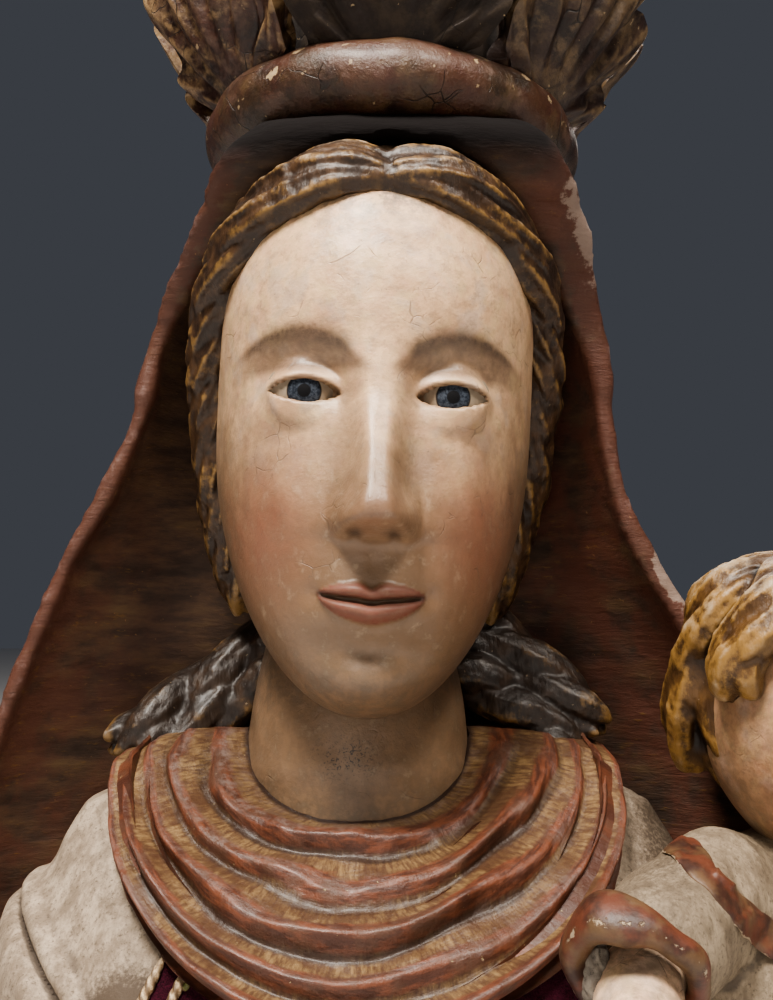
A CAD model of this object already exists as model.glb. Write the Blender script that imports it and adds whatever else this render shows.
# A bust of a crowned wooden saint with a child, carved, painted and gilded, with worn finishes.
# Sizes are in millimetres and become metres as each piece is carved. She faces -Y, with +Z up.
import math
import bpy
import numpy as np
from mathutils import Matrix, Vector


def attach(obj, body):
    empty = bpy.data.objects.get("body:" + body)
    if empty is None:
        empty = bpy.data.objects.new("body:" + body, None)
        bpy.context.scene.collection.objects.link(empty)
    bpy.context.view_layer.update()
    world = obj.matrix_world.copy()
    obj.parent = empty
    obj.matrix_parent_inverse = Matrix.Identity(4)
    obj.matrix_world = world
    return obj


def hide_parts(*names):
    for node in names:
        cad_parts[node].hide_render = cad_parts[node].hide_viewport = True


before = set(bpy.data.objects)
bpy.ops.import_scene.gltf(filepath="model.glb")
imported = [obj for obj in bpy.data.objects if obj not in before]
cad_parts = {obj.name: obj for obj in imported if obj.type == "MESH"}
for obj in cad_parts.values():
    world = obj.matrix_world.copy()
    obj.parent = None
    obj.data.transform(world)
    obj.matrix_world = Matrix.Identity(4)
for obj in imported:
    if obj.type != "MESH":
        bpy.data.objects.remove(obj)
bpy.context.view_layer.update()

MM = 0.001

# Sizes shared with the frame's solids
CHIN_HEIGHT = 97
HEAD_HEIGHT = 140
FACE_HALF_WIDTH = 41
HEAD_MIDDLE = CHIN_HEIGHT + HEAD_HEIGHT / 2
HEAD_PLACE = (
    Matrix.Translation((-6.2, 0, CHIN_HEIGHT))
    @ Matrix.Rotation(math.radians(2.3), 4, "Y")
    @ Matrix.Rotation(math.radians(2), 4, "Z")
    @ Matrix.Translation((0, 0, -CHIN_HEIGHT))
)
NECK_X = -6.8
NECK_Y = -5
BODY_X = -4.5
BODY_Y = -12
ROBE_X = 88
ROBE_Y = -34
VEIL_SHOULDER = 196
VEIL_TOP = 248
VEIL_RIM = 4.2
COLLAR_TOP = 75.6
COLLAR_HEM = 40.4
CROWN_PLACE = (
    Matrix.Translation((1.2, 4, 237.5))
    @ Matrix.Rotation(math.radians(2.3), 4, "Y")
    @ Matrix.Rotation(math.radians(-6.5), 4, "X")
)
ROLL_RADIUS = 39.2
ROLL_THICKNESS = 17.2
LEAF_COUNT = 6
LEAF_HEIGHT = 50
LEAF_FLARE = 25
LEAF_THICKNESS = 4.6
CHILD_HALF = 34
CHILD_PLACE = Matrix.Translation((97, -37, 98.5)) @ Matrix.Rotation(math.radians(12), 4, "Z")
CLOTH_GAP = 0.35
CLOTH_THICKNESS = 1.5

# How far below the underside a piece reaches before it is sawn off
UNDER_CUT = -20

# The landmarks of a face, for the saint and, about half as large, for the child
SAINT_FACE = {
    "size": 1.0, "eye": 166.0, "brow": 174.5, "nose": 135.7, "mouth": 122.8, "chin": 97.0, "eyeball": 52.2,
}
CHILD_FACE = {
    "size": 0.47, "eye": -3.0, "brow": 2.4, "nose": -14.5, "mouth": -20.6, "chin": -33.5, "eyeball": 27.2,
}
EYE_SPACING = 15.8
EYE_WIDTH = 7.8
EYEBALL = 9.0


# Functions that shape a surface
def ease(low, high, value):
    share = np.clip((value - low) / (high - low), 0, 1)
    return share * share * (3 - 2 * share)


def mound(distance, reach):
    return np.exp(-((distance / reach) ** 2))


def power(value, exponent):
    return np.sign(value) * np.abs(value) ** exponent


def blend(low, high, share):
    return low + (high - low) * share


def profile(*pairs):
    """A smooth curve through a few (place, size) pairs, level past its ends."""
    places, sizes = np.array(pairs, float).T
    last = len(places) - 1
    after = np.minimum(np.arange(last + 1) + 1, last)
    before = np.maximum(np.arange(last + 1) - 1, 0)
    slopes = (sizes[after] - sizes[before]) / (places[after] - places[before])

    def size_at(place):
        place = np.clip(place, places[0], places[-1])
        i = np.clip(np.searchsorted(places, place, side="right"), 1, last)
        span = places[i] - places[i - 1]
        t = (place - places[i - 1]) / span
        leaving = slopes[i - 1] * span * t * (1 - t) ** 2
        arriving = slopes[i] * span * t * t * (1 - t)
        return blend(sizes[i - 1], sizes[i], t * t * (3 - 2 * t)) + leaving - arriving

    return size_at


def unevenness(x, y, z, size, start=0.0):
    """The soft unevenness of hand carving, from -1 to 1, with swells about one size apart."""
    turn = 2 * np.pi / size
    bent_x = x + 0.3 * size * np.sin(turn * 0.7 * y + start)
    bent_y = y + 0.3 * size * np.sin(turn * 0.6 * z + 1.3 * start)
    bent_z = z + 0.3 * size * np.sin(turn * 0.8 * x + 2.1 * start)
    first = np.sin(turn * (0.8 * bent_x + 0.6 * bent_z) + start)
    second = np.sin(turn * (0.9 * bent_y - 0.5 * bent_x) + 2 + start)
    third = np.sin(turn * (0.7 * bent_z - 0.6 * bent_y) + 4 + start)
    return (first + second + third) / 3


# Functions that start, carve and finish a piece
def alone(piece=None):
    """Nothing selected but the piece."""
    if bpy.context.mode != "OBJECT":
        bpy.ops.object.mode_set(mode="OBJECT")
    bpy.ops.object.select_all(action="DESELECT")
    if piece:
        piece.select_set(True)
        bpy.context.view_layer.objects.active = piece


def started(name, add, **sizes):
    """A new primitive to carve from."""
    alone()
    add(**sizes)
    piece = bpy.context.object
    piece.name = piece.data.name = name
    return piece


def spots_of(piece):
    spots = np.empty(len(piece.data.vertices) * 3)
    piece.data.vertices.foreach_get("co", spots)
    return spots.reshape(-1, 3)


def places_of(piece):
    """The x, y and z of every vertex, in millimetres."""
    return (spots_of(piece) / MM).T


def mark(piece, **masks):
    """Where each part of the finish goes, kept on the piece for its materials."""
    for name, values in masks.items():
        layer = piece.data.attributes.get(name) or piece.data.attributes.new(name, "FLOAT", "POINT")
        count = len(piece.data.vertices)
        layer.data.foreach_set("value", np.broadcast_to(values, count).astype(np.float32))


def carve(piece, x, y, z, place=None, **masks):
    """Moves every vertex to its carved place, in millimetres."""
    spots = np.column_stack(np.broadcast_arrays(x, y, z)).astype(float)
    if place:
        turned = np.array(place)
        spots = spots @ turned[:3, :3].T + turned[:3, 3]
    piece.data.vertices.foreach_set("co", (spots * MM).ravel())
    piece.data.update()
    mark(piece, **masks)


def ball(name, columns, rows):
    """A ball, the way round it from the back by way of +X, and the share of the way up."""
    add = bpy.ops.mesh.primitive_uv_sphere_add
    piece = started(name, add, segments=columns, ring_count=rows, radius=1)
    x, y, z = spots_of(piece).T
    up = np.round((1 - np.arccos(np.clip(z, -1, 1)) / np.pi) * rows) / rows
    return piece, np.arctan2(x, y), up


def sheet(name, columns, rows):
    """A flat sheet to bend, with the shares of the way across and up."""
    add = bpy.ops.mesh.primitive_grid_add
    piece = started(name, add, x_subdivisions=columns, y_subdivisions=rows, size=1)
    x, y, _ = spots_of(piece).T
    return piece, x + 0.5, y + 0.5


def ring(name, columns, rows):
    """A ring, the way round it and the way round its section, both from the outside up."""
    add = bpy.ops.mesh.primitive_torus_add
    piece = started(name, add, major_segments=columns, minor_segments=rows, major_radius=2, minor_radius=1)
    x, y, z = spots_of(piece).T
    return piece, np.arctan2(y, x), np.arctan2(z, np.hypot(x, y) - 2)


def work(piece, kind, **settings):
    """One modifier, put on and applied."""
    alone(piece)
    bpy.ops.object.modifier_add(type=kind)
    modifier = piece.modifiers[-1]
    for name, value in settings.items():
        setattr(modifier, name, value)
    bpy.ops.object.modifier_apply(modifier=modifier.name)


def edited(piece, operator, **settings):
    """One operator used on the whole mesh in edit mode."""
    alone(piece)
    bpy.ops.object.mode_set(mode="EDIT")
    bpy.ops.mesh.select_all(action="SELECT")
    operator(**settings)
    bpy.ops.object.mode_set(mode="OBJECT")


def cut_flat(piece):
    """Saws off what is below the underside and closes the cut."""
    level = {"plane_co": (0, 0, 0), "plane_no": (0, 0, 1)}
    edited(piece, bpy.ops.mesh.bisect, **level, use_fill=True, clear_inner=True)


def cut_away(piece, tool):
    """Takes the tool's shape out of the piece, then clears the tool away."""
    work(piece, "BOOLEAN", object=tool, operation="DIFFERENCE", solver="EXACT")
    alone(tool)
    bpy.ops.object.delete()


def run_together(piece, voxel, rounds):
    """Makes one closed skin of all that meets, and softens it."""
    work(piece, "REMESH", mode="VOXEL", voxel_size=voxel * MM)
    work(piece, "SMOOTH", factor=0.5, iterations=rounds)


def normals_of(piece):
    normals = np.empty(len(piece.data.vertices) * 3)
    piece.data.vertex_normals.foreach_get("vector", normals)
    return normals.reshape(-1, 3)


def push_out(piece, amount):
    """Raises or sinks each spot of the surface along its normal, in millimetres."""
    x, y, z = ((spots_of(piece) / MM) + normals_of(piece) * amount[:, None]).T
    carve(piece, x, y, z)


def mark_relief(piece, rounds=24, gain=0.9):
    """Marks ridges above a half and hollows below it, measured against the softened form."""
    count = len(piece.data.vertices)
    edges = np.empty(len(piece.data.edges) * 2, int)
    piece.data.edges.foreach_get("vertices", edges)
    one, other = edges.reshape(-1, 2).T
    neighbours = np.maximum(np.bincount(edges, minlength=count), 1)[:, None]
    spots = spots_of(piece)
    soft = spots.copy()
    for _ in range(rounds):
        pulled = [
            np.bincount(one, soft[other, k], count) + np.bincount(other, soft[one, k], count)
            for k in range(3)
        ]
        soft = (soft + np.column_stack(pulled) / neighbours) / 2
    out = ((spots - soft) * normals_of(piece)).sum(axis=1) / MM
    mark(piece, relief=np.clip(0.5 + gain * out, 0, 1))


def joined(name, *pieces):
    """Several meshes made one."""
    alone(pieces[0])
    for piece in pieces:
        piece.select_set(True)
    if len(pieces) > 1:
        bpy.ops.object.join()
    pieces[0].name = pieces[0].data.name = name
    return pieces[0]


def finished(piece, node, material, angle=None):
    """Shades a piece, gives it its material and puts it in its node's place."""
    alone(piece)
    if angle:
        bpy.ops.object.shade_smooth_by_angle(angle=math.radians(angle))
    else:
        bpy.ops.object.shade_smooth()
    piece.data.materials.clear()
    piece.data.materials.append(material)
    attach(piece, "root")
    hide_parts(node)
    return piece


def course(points, shares):
    """Places spaced evenly along a smooth course through the points, and its direction at each."""
    points = np.array(points, float)
    ends = np.vstack([2 * points[0] - points[1], points, 2 * points[-1] - points[-2]])
    t = np.linspace(0, 1, 40, endpoint=False)[:, None]
    runs = []
    for a, b, c, d in zip(ends, ends[1:], ends[2:], ends[3:]):
        bend = (2 * a - 5 * b + 4 * c - d) * t**2 + (3 * b - a - 3 * c + d) * t**3
        runs.append(b + ((c - a) * t + bend) / 2)
    fine = np.vstack([*runs, points[-1:]])
    length = np.append(0, np.cumsum(np.linalg.norm(np.diff(fine, axis=0), axis=1)))
    at = np.asarray(shares) * length[-1]
    ways = np.gradient(fine, length, axis=0)
    places = np.column_stack([np.interp(at, length, fine[:, k]) for k in range(3)])
    heading = np.column_stack([np.interp(at, length, ways[:, k]) for k in range(3)])
    return places, heading / np.linalg.norm(heading, axis=1)[:, None]


def squared(places, heading, outward):
    """The outward way turned square to a course, and the way beside it."""
    out = np.asarray(outward(places) if callable(outward) else outward, float)
    out = out - (out * heading).sum(axis=-1)[:, None] * heading
    out = out / np.linalg.norm(out, axis=1)[:, None]
    return out, np.cross(heading, out)


def drawn_out(name, points, radius, columns, rows, outward, flatness=1.0, place=None):
    """A lock, limb or cord: a ball drawn out along a course, its first side turned outward."""
    piece, around, along = ball(name, columns, rows)
    places, heading = course(points, along)
    out, beside = squared(places, heading, outward)
    rounding = np.sqrt(np.maximum(0, 1 - (2 * along - 1) ** 8))
    reach = (radius(around, along) * rounding)[:, None]
    carved = places + reach * (np.cos(around)[:, None] * out + flatness * np.sin(around)[:, None] * beside)
    carve(piece, *carved.T, place)
    return piece, around, along


class Finish:
    """A painter's recipe. Each call adds one step and hands back what comes out of it."""

    def __init__(self, name):
        self.material = bpy.data.materials.new(name)
        self.material.use_nodes = True
        self.nodes = self.material.node_tree.nodes
        self.links = self.material.node_tree.links
        self.shader = self.nodes["Principled BSDF"]
        self.spot = self.step("TexCoord").outputs["Object"]

    def feed(self, socket, value):
        if isinstance(value, bpy.types.NodeSocket):
            self.links.new(value, socket)
        elif socket.type == "RGBA" and len(value) == 3:
            socket.default_value = (*value, 1)
        else:
            socket.default_value = value

    def step(self, kind, inputs=None, **settings):
        node = self.nodes.new("ShaderNode" + kind)
        for name, value in settings.items():
            setattr(node, name, value)
        for name, value in (inputs or {}).items():
            self.feed(node.inputs[name], value)
        return node

    def stretched(self, scale, turn=(0, 0, 0)):
        return self.step("Mapping", {"Vector": self.spot, "Scale": scale, "Rotation": turn}).outputs[0]

    def cloud(self, size, detail=4.0, rough=0.6, spot=None, wander=0.0):
        """Soft uneven clouds about one size across, from 0 to 1."""
        inputs = {
            "Vector": spot or self.spot, "Scale": 1 / (size * MM), "Detail": detail,
            "Roughness": rough, "Distortion": wander,
        }
        return self.step("TexNoise", inputs).outputs[0]

    def cracks(self, size, width, wander=0.25):
        """A net of fine cracks, 1 on the crack and 0 between."""
        drift = self.step("TexNoise", {"Vector": self.spot, "Scale": 1 / (size * 1.6 * MM)}).outputs[1]
        shift = self.step(
            "VectorMath", {0: drift, 1: (size * MM * wander,) * 3}, operation="MULTIPLY"
        ).outputs[0]
        spot = self.step("VectorMath", {0: self.spot, 1: shift}, operation="ADD").outputs[0]
        inputs = {"Vector": spot, "Scale": 1 / (size * MM)}
        edge = self.step("TexVoronoi", inputs, feature="DISTANCE_TO_EDGE")
        return self.band(edge.outputs["Distance"], width, 0)

    def band(self, value, low, high):
        """0 at low and 1 at high, smoothly."""
        inputs = {"Value": value, "From Min": low, "From Max": high}
        return self.step("MapRange", inputs, interpolation_type="SMOOTHSTEP").outputs[0]

    def level(self, value, low, high):
        """0 to 1 turned into low to high."""
        inputs = {"Value": value, "To Min": low, "To Max": high}
        return self.step("MapRange", inputs).outputs[0]

    def sum(self, one, other):
        return self.step("Math", {0: one, 1: other}, operation="ADD").outputs[0]

    def times(self, one, other):
        return self.step("Math", {0: one, 1: other}, operation="MULTIPLY").outputs[0]

    def larger(self, one, other):
        return self.step("Math", {0: one, 1: other}, operation="MAXIMUM").outputs[0]

    def over(self, share, under, paint, mode="MIX"):
        """Paint over what is under it, where share is 1."""
        settings = {"data_type": "RGBA", "blend_type": mode}
        return self.step("Mix", {0: share, 6: under, 7: paint}, **settings).outputs[2]

    def patched(self, colour, size, low, high, share, paint):
        """Soft patches of another paint, each about one size across."""
        patches = self.times(self.band(self.cloud(size, 5), low, high), share)
        return self.over(patches, colour, paint)

    def shades(self, value, *stops):
        """A run of colours along a value from 0 to 1."""
        ramp = self.step("ValToRGB", {"Fac": value})
        elements = ramp.color_ramp.elements
        elements[0].position, elements[0].color = stops[0][0], (*stops[0][1], 1)
        elements[1].position, elements[1].color = stops[-1][0], (*stops[-1][1], 1)
        for place, colour in stops[1:-1]:
            elements.new(place).color = (*colour, 1)
        return ramp.outputs[0]

    def mask(self, name):
        return self.step("Attribute", attribute_name=name).outputs["Fac"]

    def laid(self, along, beside, stretch):
        """The piece's own two courses as a spot, so that streaks follow its surface."""
        across = {"X": self.mask(along), "Y": self.mask(beside)}
        return self.step(
            "VectorMath", {0: self.step("CombineXYZ", across).outputs[0], 1: (*stretch, 1)},
            operation="MULTIPLY",
        ).outputs[0]

    def bump(self, height, depth, under=None):
        """Raises the height's 1 above its 0 by the depth in millimetres."""
        inputs = {"Height": height, "Distance": depth * MM, "Strength": 1.0}
        if under:
            inputs["Normal"] = under
        return self.step("Bump", inputs).outputs[0]

    def made(self, colour, roughness, normal, **settings):
        self.feed(self.shader.inputs["Base Color"], colour)
        self.feed(self.shader.inputs["Roughness"], roughness)
        self.links.new(normal, self.shader.inputs["Normal"])
        for name, value in settings.items():
            self.feed(self.shader.inputs[name.replace("_", " ")], value)
        return self.material


# Finishes
def flesh_finish(name, pale, warm, tan, red, dirt_share):
    """Aged glossy flesh paint: mottled, blushed, cracked, with dirt in its hollows."""
    paint = Finish(name)
    relief = paint.mask("relief")
    mottle = paint.cloud(9, 6, 0.65)
    streaks = paint.cloud(2.4, 6, 0.7, paint.stretched((0.6, 1, 1)))
    colour = paint.over(paint.band(mottle, 0.38, 0.64), pale, warm)
    colour = paint.patched(colour, 5.2, 0.5, 0.64, 0.30, (0.58, 0.33, 0.23))
    colour = paint.patched(colour, 6.3, 0.5, 0.64, 0.35, (0.57, 0.43, 0.22))
    colour = paint.patched(colour, 7.6, 0.5, 0.66, 0.35, (0.42, 0.36, 0.33))
    aged = paint.sum(paint.mask("aged"), paint.level(paint.cloud(11, 7, 0.65), -0.42, 0.42))
    colour = paint.over(paint.band(aged, 0.0, 1.0), colour, tan)
    colour = paint.over(paint.times(paint.band(streaks, 0.48, 0.68), 0.42), colour, (0.22, 0.145, 0.095))
    pale_rub = paint.times(paint.band(paint.cloud(3.4, 6, 0.7), 0.54, 0.70), 0.30)
    colour = paint.over(pale_rub, colour, (0.56, 0.43, 0.29))
    for part, grain, low, high, tint in (
        ("blush", (6, 5), 0.45, 1.1, red),
        ("shade", (2.5, 5), 0.5, 1.1, (0.105, 0.066, 0.044)),
        ("brow", (1.4, 4), 0.55, 1.15, (0.060, 0.038, 0.027)),
        ("lip", (1.6, 5, 0.7), 0.15, 1.15, (0.17, 0.040, 0.028)),
    ):
        share = paint.times(paint.mask(part), paint.level(paint.cloud(*grain), low, high))
        colour = paint.over(share, colour, tint)
    colour = paint.over(paint.mask("line"), colour, (0.022, 0.010, 0.008))
    hollow = paint.times(paint.band(relief, 0.47, 0.2), paint.level(paint.cloud(2.2, 5), 0.3, 1.1))
    colour = paint.over(hollow, colour, (0.15, 0.092, 0.055))
    grime = paint.times(paint.mask("grime"), paint.band(paint.cloud(3.4, 7, 0.7), 0.38, 0.62))
    colour = paint.over(grime, colour, (0.10, 0.072, 0.048))
    specks = paint.times(paint.band(paint.cloud(0.9, 3), 0.66, 0.74), dirt_share)
    colour = paint.over(specks, colour, (0.10, 0.085, 0.065))
    cracks = paint.times(paint.cracks(7.5, 0.022, 1.1), paint.band(paint.cloud(11, 4), 0.54, 0.64))
    colour = paint.over(paint.times(cracks, 0.5), colour, (0.12, 0.08, 0.055))
    patch = paint.times(paint.mask("patch"), paint.band(paint.cloud(1.1, 3, 0.6, wander=2.0), 0.55, 0.62))
    colour = paint.over(patch, colour, (0.035, 0.030, 0.026))
    roughness = paint.level(paint.cloud(4, 5), 0.28, 0.52)
    rough = paint.larger(roughness, paint.times(paint.larger(paint.mask("grime"), paint.mask("lip")), 0.62))
    normal = paint.bump(cracks, -0.08)
    normal = paint.bump(paint.cloud(0.8, 5, 0.7), 0.09, normal)
    normal = paint.bump(streaks, 0.12, normal)
    normal = paint.bump(paint.cloud(7, 4), 0.35, normal)
    return paint.made(colour, rough, normal, Specular_IOR_Level=0.42, Coat_Weight=0.14, Coat_Roughness=0.34)


def eye_finish():
    """Painted eyes: worn blue-grey iris, dark pupil and a warm grey white."""
    paint = Finish("painted_eyes")
    turned = paint.mask("iris")
    flecks = paint.cloud(0.7, 4, 0.7)
    colour = paint.over(paint.cloud(3), (0.34, 0.28, 0.21), (0.19, 0.145, 0.105))
    iris = paint.over(paint.band(flecks, 0.4, 0.62), (0.014, 0.018, 0.026), (0.052, 0.062, 0.080))
    colour = paint.over(paint.band(turned, 0.44, 0.40), colour, (0.02, 0.018, 0.018))
    colour = paint.over(paint.band(turned, 0.40, 0.36), colour, iris)
    colour = paint.over(paint.band(turned, 0.17, 0.14), colour, (0.006, 0.006, 0.007))
    roughness = paint.level(flecks, 0.45, 0.65)
    return paint.made(colour, roughness, paint.bump(flecks, 0.03), Specular_IOR_Level=0.12)


def hair_finish(name, dark, brown, gold, dusty, gold_from):
    """Worn gilding over dark brown: gold where the locks stand out, dust on the very tops."""
    paint = Finish(name)
    relief = paint.mask("relief")
    upward = paint.mask("upward")
    drawn = paint.cloud(1.0, 5, 0.65, paint.stretched((1, 1, 0.3)))
    ragged = paint.sum(relief, paint.level(paint.cloud(2.2, 7, 0.7), -0.30, 0.30))
    wide = paint.level(paint.cloud(9, 4), -0.22, 0.22)
    colour = paint.over(paint.band(paint.cloud(5, 6), 0.4, 0.65), dark, brown)
    gilded = paint.sum(paint.sum(ragged, wide), paint.level(drawn, -0.12, 0.12))
    colour = paint.over(paint.band(gilded, gold_from, gold_from + 0.22), colour, gold)
    dust = paint.sum(ragged, paint.times(upward, 0.30))
    dusted = paint.band(dust, gold_from + 0.18, gold_from + 0.46)
    light = paint.times(dusted, paint.band(paint.cloud(4, 5), 0.42, 0.62))
    colour = paint.over(paint.times(light, 0.8), colour, dusty)
    colour = paint.over(paint.band(relief, 0.46, 0.20), colour, (0.012, 0.007, 0.005))
    inner = paint.times(paint.mask("inner"), paint.level(paint.cloud(3, 5), 0.6, 1.1))
    colour = paint.over(paint.times(inner, 0.85), colour, dark)
    chips = paint.band(paint.cloud(1.7, 5, 0.6), 0.69, 0.72)
    colour = paint.over(paint.times(chips, 0.5), colour, (0.36, 0.27, 0.17))
    normal = paint.bump(drawn, 0.30)
    normal = paint.bump(chips, -0.12, normal)
    roughness = paint.level(paint.cloud(3, 5), 0.26, 0.56)
    gloss = {"Coat_Weight": 0.08, "Coat_Roughness": 0.25}
    return paint.made(colour, roughness, normal, Specular_IOR_Level=0.4, **gloss)


def veil_finish():
    """Inside the veil: dark brown over red ground with worn olive gold, combed across in streaks."""
    paint = Finish("veil_worn_gilding")
    relief = paint.mask("relief")
    across = paint.cloud(9, 6, 0.65, paint.stretched((0.5, 0.5, 1.9)))
    fine = paint.cloud(1.6, 5, 0.7, paint.stretched((0.35, 0.35, 1.6)))
    colour = paint.shades(
        across,
        (0.30, (0.036, 0.025, 0.020)), (0.45, (0.062, 0.040, 0.030)),
        (0.55, (0.092, 0.055, 0.037)), (0.70, (0.130, 0.083, 0.047)),
    )
    red = paint.times(paint.mask("red"), paint.band(paint.cloud(13, 5), 0.36, 0.6))
    colour = paint.over(paint.times(red, 0.8), colour, (0.120, 0.046, 0.031))
    gold = paint.times(paint.band(fine, 0.56, 0.7), paint.band(paint.cloud(15, 4), 0.42, 0.6))
    colour = paint.over(paint.times(gold, 0.55), colour, (0.22, 0.125, 0.035))
    ragged = paint.level(paint.cloud(3.6, 6, 0.65), -0.45, 0.5)
    worn = paint.sum(paint.times(paint.mask("rim"), 0.6), ragged)
    colour = paint.over(paint.times(paint.band(worn, 0.3, 0.5), 0.85), colour, (0.085, 0.036, 0.025))
    sheen = paint.times(paint.band(worn, 0.55, 0.8), paint.band(paint.cloud(6, 5), 0.45, 0.6))
    colour = paint.over(sheen, colour, (0.17, 0.105, 0.090))
    chips = paint.band(paint.sum(paint.mask("pale_rim"), ragged), 0.52, 0.62)
    colour = paint.over(chips, colour, (0.22, 0.160, 0.130))
    flecks = paint.band(paint.cloud(1.2, 4, 0.6), 0.69, 0.73)
    colour = paint.over(paint.times(flecks, 0.55), colour, (0.30, 0.17, 0.08))
    colour = paint.over(paint.band(relief, 0.40, 0.1), colour, (0.012, 0.008, 0.007))
    colour = paint.over(paint.mask("shade"), colour, (0.005, 0.0035, 0.0035))
    normal = paint.bump(fine, 0.25)
    normal = paint.bump(across, 0.5, normal)
    roughness = paint.larger(paint.level(paint.cloud(5, 5), 0.34, 0.62), paint.mask("shade"))
    return paint.made(colour, roughness, normal, Specular_IOR_Level=0.22)


def collar_finish():
    """The collar: red-brown ridges, worn ochre gold between them and a lilac grey sheen on top."""
    paint = Finish("collar_worn_gilding")
    ragged = paint.level(paint.cloud(3.2, 7, 0.7), -0.3, 0.3)
    streaks = paint.cloud(1.5, 6, 0.65, paint.laid("way", "fall", (0.2, 1)))
    strokes = paint.cloud(0.9, 5, 0.7, paint.laid("way", "fall", (1, 0.22)))
    gold = paint.over(paint.band(strokes, 0.38, 0.64), (0.085, 0.044, 0.023), (0.215, 0.135, 0.062))
    gold = paint.patched(gold, 9, 0.40, 0.62, 0.8, (0.070, 0.033, 0.018))
    red = paint.over(paint.band(streaks, 0.40, 0.62), (0.062, 0.023, 0.014), (0.145, 0.050, 0.026))
    red = paint.patched(red, 7, 0.46, 0.64, 0.7, (0.085, 0.042, 0.026))
    ridge = paint.sum(paint.mask("ridge"), paint.sum(ragged, paint.level(streaks, -0.15, 0.15)))
    colour = paint.over(paint.band(ridge, 0.26, 0.60), gold, red)
    lilac = paint.times(paint.mask("sheen"), paint.band(paint.cloud(2.6, 7, 0.75), 0.40, 0.66))
    colour = paint.over(paint.times(lilac, 0.8), colour, (0.19, 0.140, 0.120))
    colour = paint.over(paint.mask("deep"), colour, (0.024, 0.012, 0.008))
    chips = paint.times(paint.band(paint.cloud(1.5, 4, 0.6), 0.70, 0.73), 0.7)
    colour = paint.over(chips, colour, (0.36, 0.27, 0.15))
    normal = paint.bump(strokes, 0.16)
    normal = paint.bump(streaks, 0.22, normal)
    normal = paint.bump(paint.cloud(5, 5), 0.5, normal)
    normal = paint.bump(chips, -0.15, normal)
    roughness = paint.level(paint.cloud(3.5, 5), 0.32, 0.58)
    gloss = {"Coat_Weight": 0.10, "Coat_Roughness": 0.25}
    return paint.made(colour, roughness, normal, Specular_IOR_Level=0.38, **gloss)


def chalk_finish(name, light, middle, dirt, dirt_share):
    """Chalky white cloth paint, rubbed and dirty, with fine brown specks."""
    paint = Finish(name)
    relief = paint.mask("relief")
    rubbed = paint.cloud(7, 7, 0.7, paint.stretched((1.3, 1.3, 0.6)))
    specks = paint.cloud(0.9, 6, 0.75)
    streaks = paint.cloud(2.0, 6, 0.7, paint.stretched((1.5, 1, 0.4), (0, 0.7, 0)))
    colour = paint.over(paint.band(rubbed, 0.38, 0.62), light, middle)
    colour = paint.over(paint.times(paint.band(streaks, 0.46, 0.66), 0.6), colour, middle)
    colour = paint.over(paint.times(paint.band(streaks, 0.60, 0.74), 0.55), colour, dirt)
    grime = paint.sum(paint.mask("grime"), paint.level(specks, -0.32, 0.32))
    dirty = paint.band(grime, 0.45, 0.75)
    grime = paint.larger(dirty, paint.times(paint.band(specks, 0.52, 0.66), dirt_share))
    colour = paint.over(grime, colour, dirt)
    colour = paint.over(paint.times(paint.band(relief, 0.36, 0.05), 0.8), colour, (0.065, 0.048, 0.036))
    colour = paint.over(paint.times(paint.cracks(9, 0.012, 1.0), 0.2), colour, (0.09, 0.07, 0.05))
    normal = paint.bump(specks, 0.16)
    normal = paint.bump(rubbed, 0.4, normal)
    roughness = paint.level(paint.cloud(4, 4), 0.55, 0.85)
    return paint.made(colour, roughness, normal, Specular_IOR_Level=0.35)


def crown_finish(name, red_share, gold_share, gold_paint, coat):
    """Red-brown ground with worn gold and cream gesso chips, glossy and cracked."""
    paint = Finish(name)
    relief = paint.mask("relief")
    along = paint.mask("along")
    mottle = paint.cloud(7, 7, 0.7)
    colour = paint.shades(
        mottle,
        (0.36, (0.012, 0.006, 0.005)), (0.48, (0.026, 0.012, 0.008)), (0.62, (0.056, 0.024, 0.016)),
    )
    colour = paint.patched(colour, 16, 0.45, 0.6, red_share, (0.066, 0.021, 0.012))
    ribs = paint.sum(relief, paint.level(paint.cloud(2.4, 7, 0.7), -0.3, 0.3))
    patches = paint.times(paint.band(paint.cloud(9, 7, 0.7), 0.46, 0.66), 0.8)
    gold = paint.times(paint.larger(paint.times(paint.band(ribs, 0.5, 0.75), along), patches), gold_share)
    colour = paint.over(gold, colour, gold_paint)
    colour = paint.patched(colour, 8, 0.52, 0.68, 0.5, (0.12, 0.075, 0.055))
    colour = paint.over(paint.band(relief, 0.42, 0.12), colour, (0.010, 0.007, 0.006))
    colour = paint.over(paint.mask("dull"), colour, (0.012, 0.008, 0.006))
    worn = paint.sum(paint.mask("chips"), paint.level(paint.cloud(2.6, 5, 0.6), -0.42, 0.42))
    spread = paint.times(paint.band(paint.cloud(3.2, 5, 0.55), 0.675, 0.69), 0.7)
    chips = paint.larger(paint.band(worn, 0.5, 0.54), spread)
    colour = paint.over(chips, colour, (0.36, 0.26, 0.15))
    cracks = paint.times(paint.cracks(9, 0.018, 1.0), paint.band(paint.cloud(18, 3), 0.48, 0.6))
    colour = paint.over(cracks, colour, (0.012, 0.008, 0.007))
    normal = paint.bump(chips, -0.22)
    normal = paint.bump(cracks, -0.2, normal)
    normal = paint.bump(paint.cloud(1.3, 5), 0.14, normal)
    normal = paint.bump(mottle, 0.9, normal)
    roughness = paint.larger(paint.level(paint.cloud(4, 5), 0.24, 0.56), paint.mask("dull"))
    gloss = {"Coat_Weight": coat, "Coat_Roughness": 0.25}
    return paint.made(colour, roughness, normal, Specular_IOR_Level=0.38, **gloss)


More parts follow.
